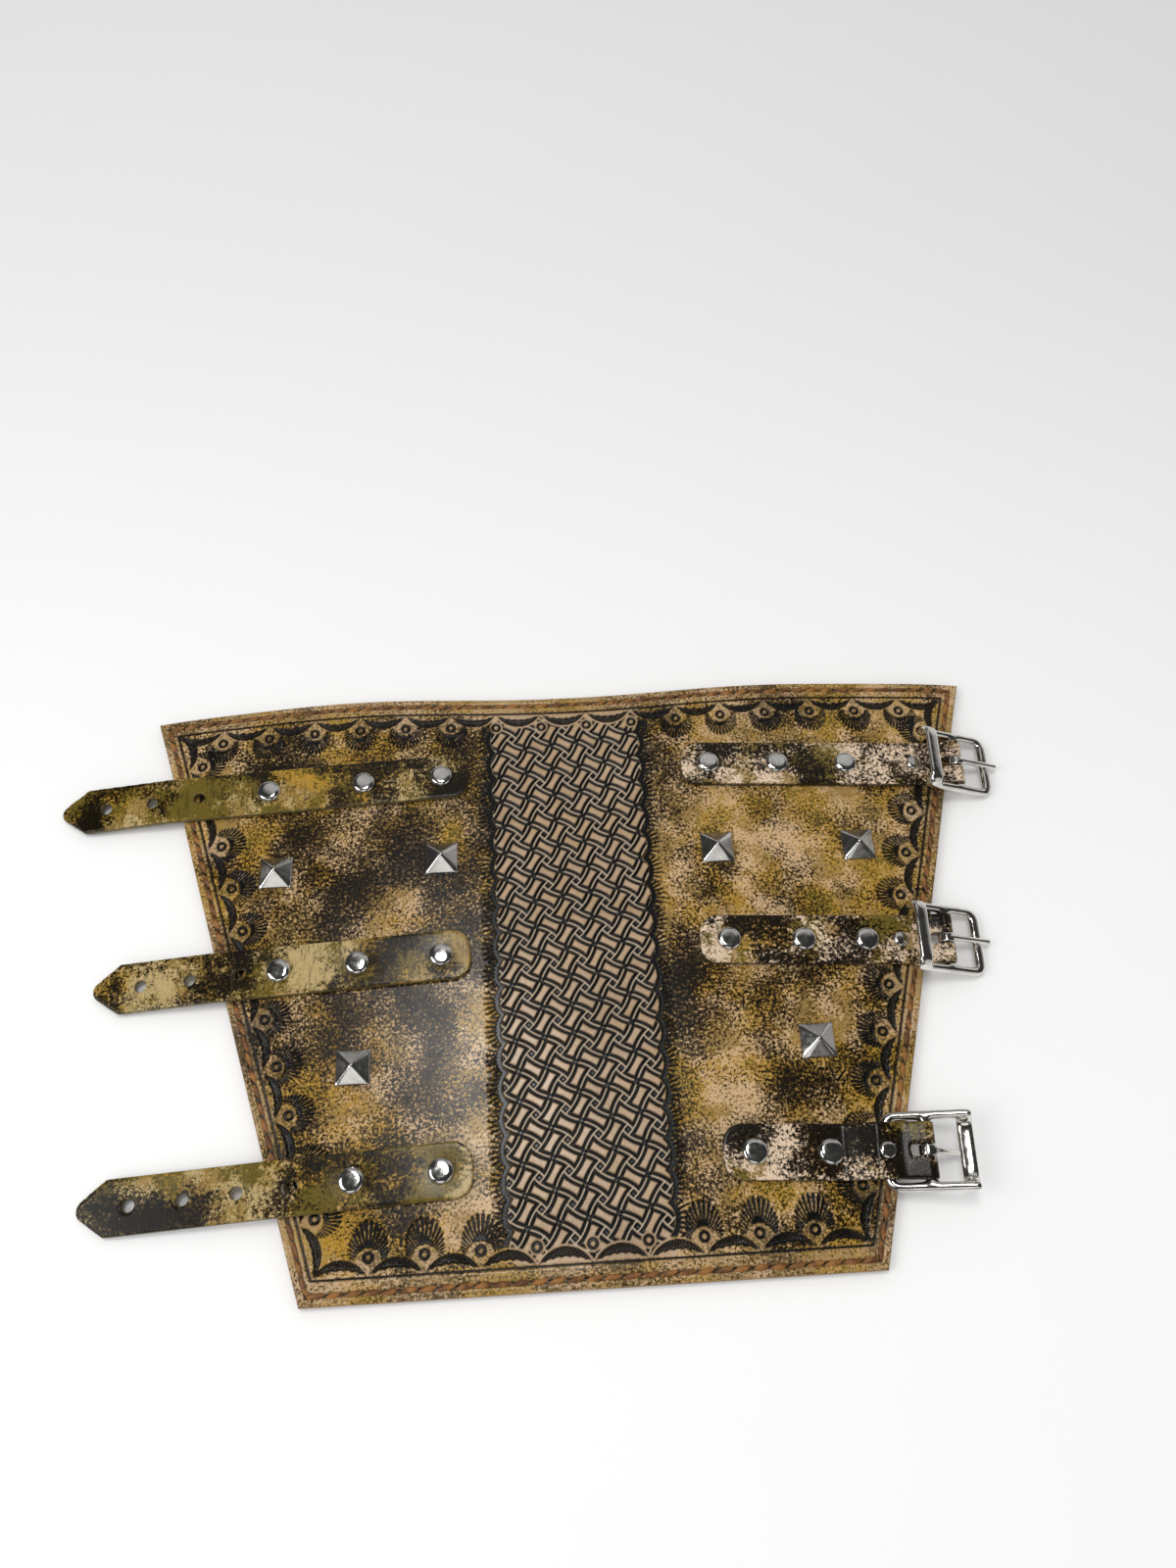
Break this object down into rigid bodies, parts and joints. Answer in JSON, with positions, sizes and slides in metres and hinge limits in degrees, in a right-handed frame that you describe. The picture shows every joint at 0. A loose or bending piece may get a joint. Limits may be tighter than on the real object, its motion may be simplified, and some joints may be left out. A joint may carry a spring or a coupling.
{
  "type": "leather bracer",
  "caption": "Tooled leather forearm bracer laid open flat, tapering to the wrist, with three buckle straps that close it round the arm.",
  "frame": {"origin": "middle of the underside, on the centreline halfway between the wrist and elbow edges", "axes": "+X towards the buckle side, +Y from the wrist edge to the elbow edge, +Z out of the tooled outer face; laid open flat"},
  "size_m": [0.3786, 0.224, 0.0172],
  "materials": {
    "tooled_leather": "mottled tan, ochre and olive dye under a satin top coat",
    "black_lining": "black, matt",
    "tongue_leather": "olive and yellow mottled, satin",
    "chape_leather": "tan speckled with black, satin",
    "rivet_nickel": "polished nickel plate",
    "stud_nickel": "nickel plate, lightly tarnished",
    "buckle_nickel": "polished nickel plate"
  },
  "bodies": {
    "centre": {"outer_centre": "tooled_leather", "lining_centre": "black_lining"},
    "left_1": {"outer_left_1": "tooled_leather", "lining_left_1": "black_lining"},
    "left_2": {"outer_left_2": "tooled_leather", "lining_left_2": "black_lining", "tongue_elbow_inner": "tongue_leather", "tongue_middle_inner": "tongue_leather", "tongue_wrist_inner": "tongue_leather", "rivets_left_2": "rivet_nickel", "studs_left_2": "stud_nickel"},
    "left_3": {"outer_left_3": "tooled_leather", "lining_left_3": "black_lining", "tongue_elbow_mid": "tongue_leather", "tongue_middle_mid": "tongue_leather", "tongue_wrist_mid": "tongue_leather", "rivets_left_3": "rivet_nickel", "studs_left_3": "stud_nickel"},
    "left_4": {"outer_left_4": "tooled_leather", "lining_left_4": "black_lining", "tongue_elbow_outer": "tongue_leather", "tongue_middle_outer": "tongue_leather", "tongue_wrist_outer": "tongue_leather", "rivets_left_4": "rivet_nickel", "studs_left_4": "stud_nickel"},
    "right_1": {"outer_right_1": "tooled_leather", "lining_right_1": "black_lining"},
    "right_2": {"outer_right_2": "tooled_leather", "lining_right_2": "black_lining", "chape_elbow_inner": "chape_leather", "chape_middle_inner": "chape_leather", "chape_wrist_inner": "chape_leather", "rivets_right_2": "rivet_nickel", "studs_right_2": "stud_nickel"},
    "right_3": {"outer_right_3": "tooled_leather", "lining_right_3": "black_lining", "chape_elbow_mid": "chape_leather", "chape_middle_mid": "chape_leather", "chape_wrist_mid": "chape_leather", "rivets_right_3": "rivet_nickel", "studs_right_3": "stud_nickel"},
    "right_4": {"outer_right_4": "tooled_leather", "lining_right_4": "black_lining", "chape_elbow_outer": "chape_leather", "chape_middle_outer": "chape_leather", "chape_wrist_outer": "chape_leather", "rivets_right_4": "rivet_nickel"},
    "tongue_elbow_end": {"tongue_elbow_end": "tongue_leather"},
    "tongue_middle_end": {"tongue_middle_end": "tongue_leather"},
    "tongue_wrist_end": {"tongue_wrist_end": "tongue_leather"},
    "frame_elbow": {"buckle_frame_elbow": "buckle_nickel"},
    "prong_elbow": {"buckle_prong_elbow": "buckle_nickel"},
    "frame_middle": {"buckle_frame_middle": "buckle_nickel"},
    "prong_middle": {"buckle_prong_middle": "buckle_nickel"},
    "frame_wrist": {"buckle_frame_wrist": "buckle_nickel"},
    "prong_wrist": {"buckle_prong_wrist": "buckle_nickel"}
  },
  "joints": [
    {"name": "wrap", "type": "hinge", "parent": "centre", "child": "right_1", "pos_m": [0.01503, 0, 0], "axis": [0.0353, 0.9994, 0], "range_deg": [0, 32]},
    {"name": "bend_right_2", "type": "hinge", "parent": "right_1", "child": "right_2", "pos_m": [0.04349, 0, 0], "axis": [0.1017, 0.9948, 0], "range_deg": [0, 32]},
    {"name": "bend_right_3", "type": "hinge", "parent": "right_2", "child": "right_3", "pos_m": [0.07754, 0, 0], "axis": [0.1792, 0.9838, 0], "range_deg": [0, 32]},
    {"name": "bend_right_4", "type": "hinge", "parent": "right_3", "child": "right_4", "pos_m": [0.11503, 0, 0], "axis": [0.2434, 0.9699, 0], "range_deg": [0, 32]},
    {"name": "bend_left_1", "type": "hinge", "parent": "centre", "child": "left_1", "pos_m": [-0.01503, 0, 0], "axis": [0.0353, -0.9994, 0], "range_deg": [0, 32]},
    {"name": "bend_left_2", "type": "hinge", "parent": "left_1", "child": "left_2", "pos_m": [-0.03751, 0, 0], "axis": [0.0878, -0.9961, 0], "range_deg": [0, 32]},
    {"name": "bend_left_3", "type": "hinge", "parent": "left_2", "child": "left_3", "pos_m": [-0.07448, 0, 0], "axis": [0.1724, -0.985, 0], "range_deg": [0, 32]},
    {"name": "bend_left_4", "type": "hinge", "parent": "left_3", "child": "left_4", "pos_m": [-0.09989, 0, 0], "axis": [0.1735, -0.9848, 0], "range_deg": [0, 32]},
    {"name": "tongue_elbow_flex", "type": "hinge", "parent": "left_4", "child": "tongue_elbow_end", "pos_m": [-0.16013, 0.07522, 0.0066], "axis": [-0.0436, 0.999, 0], "range_deg": [0, 45]},
    {"name": "tongue_middle_flex", "type": "hinge", "parent": "left_4", "child": "tongue_middle_end", "pos_m": [-0.13701, 0.00123, 0.0066], "axis": [-0.0436, 0.999, 0], "range_deg": [0, 45]},
    {"name": "tongue_wrist_flex", "type": "hinge", "parent": "left_4", "child": "tongue_wrist_end", "pos_m": [-0.11327, -0.07473, 0.0066], "axis": [-0.0436, 0.999, 0], "range_deg": [0, 45]},
    {"name": "buckle_elbow_swing", "type": "hinge", "parent": "right_4", "child": "frame_elbow", "pos_m": [0.15812, 0.07386, 0.007], "axis": [-0.061, -0.9981, 0], "range_deg": [0, 25]},
    {"name": "prong_elbow_swing", "type": "hinge", "parent": "frame_elbow", "child": "prong_elbow", "pos_m": [0.15812, 0.07386, 0.007], "axis": [-0.061, -0.9981, 0], "range_deg": [0, 100]},
    {"name": "buckle_middle_swing", "type": "hinge", "parent": "right_4", "child": "frame_middle", "pos_m": [0.13931, 0.00001, 0.007], "axis": [-0.061, -0.9981, 0], "range_deg": [0, 25]},
    {"name": "prong_middle_swing", "type": "hinge", "parent": "frame_middle", "child": "prong_middle", "pos_m": [0.13931, 0.00001, 0.007], "axis": [-0.061, -0.9981, 0], "range_deg": [0, 100]},
    {"name": "buckle_wrist_swing", "type": "hinge", "parent": "right_4", "child": "frame_wrist", "pos_m": [0.1165, -0.0756, 0.0099], "axis": [0.061, 0.9981, 0], "range_deg": [0, 2]},
    {"name": "prong_wrist_swing", "type": "hinge", "parent": "frame_wrist", "child": "prong_wrist", "pos_m": [0.1165, -0.0756, 0.0099], "axis": [-0.061, -0.9981, 0], "range_deg": [0, 9]}
  ],
  "couplings": [
    {"joint": "bend_right_2", "follows": "wrap", "ratio": 1},
    {"joint": "bend_right_3", "follows": "wrap", "ratio": 1},
    {"joint": "bend_right_4", "follows": "wrap", "ratio": 1},
    {"joint": "bend_left_1", "follows": "wrap", "ratio": 1},
    {"joint": "bend_left_2", "follows": "wrap", "ratio": 1},
    {"joint": "bend_left_3", "follows": "wrap", "ratio": 1},
    {"joint": "bend_left_4", "follows": "wrap", "ratio": 1}
  ]
}
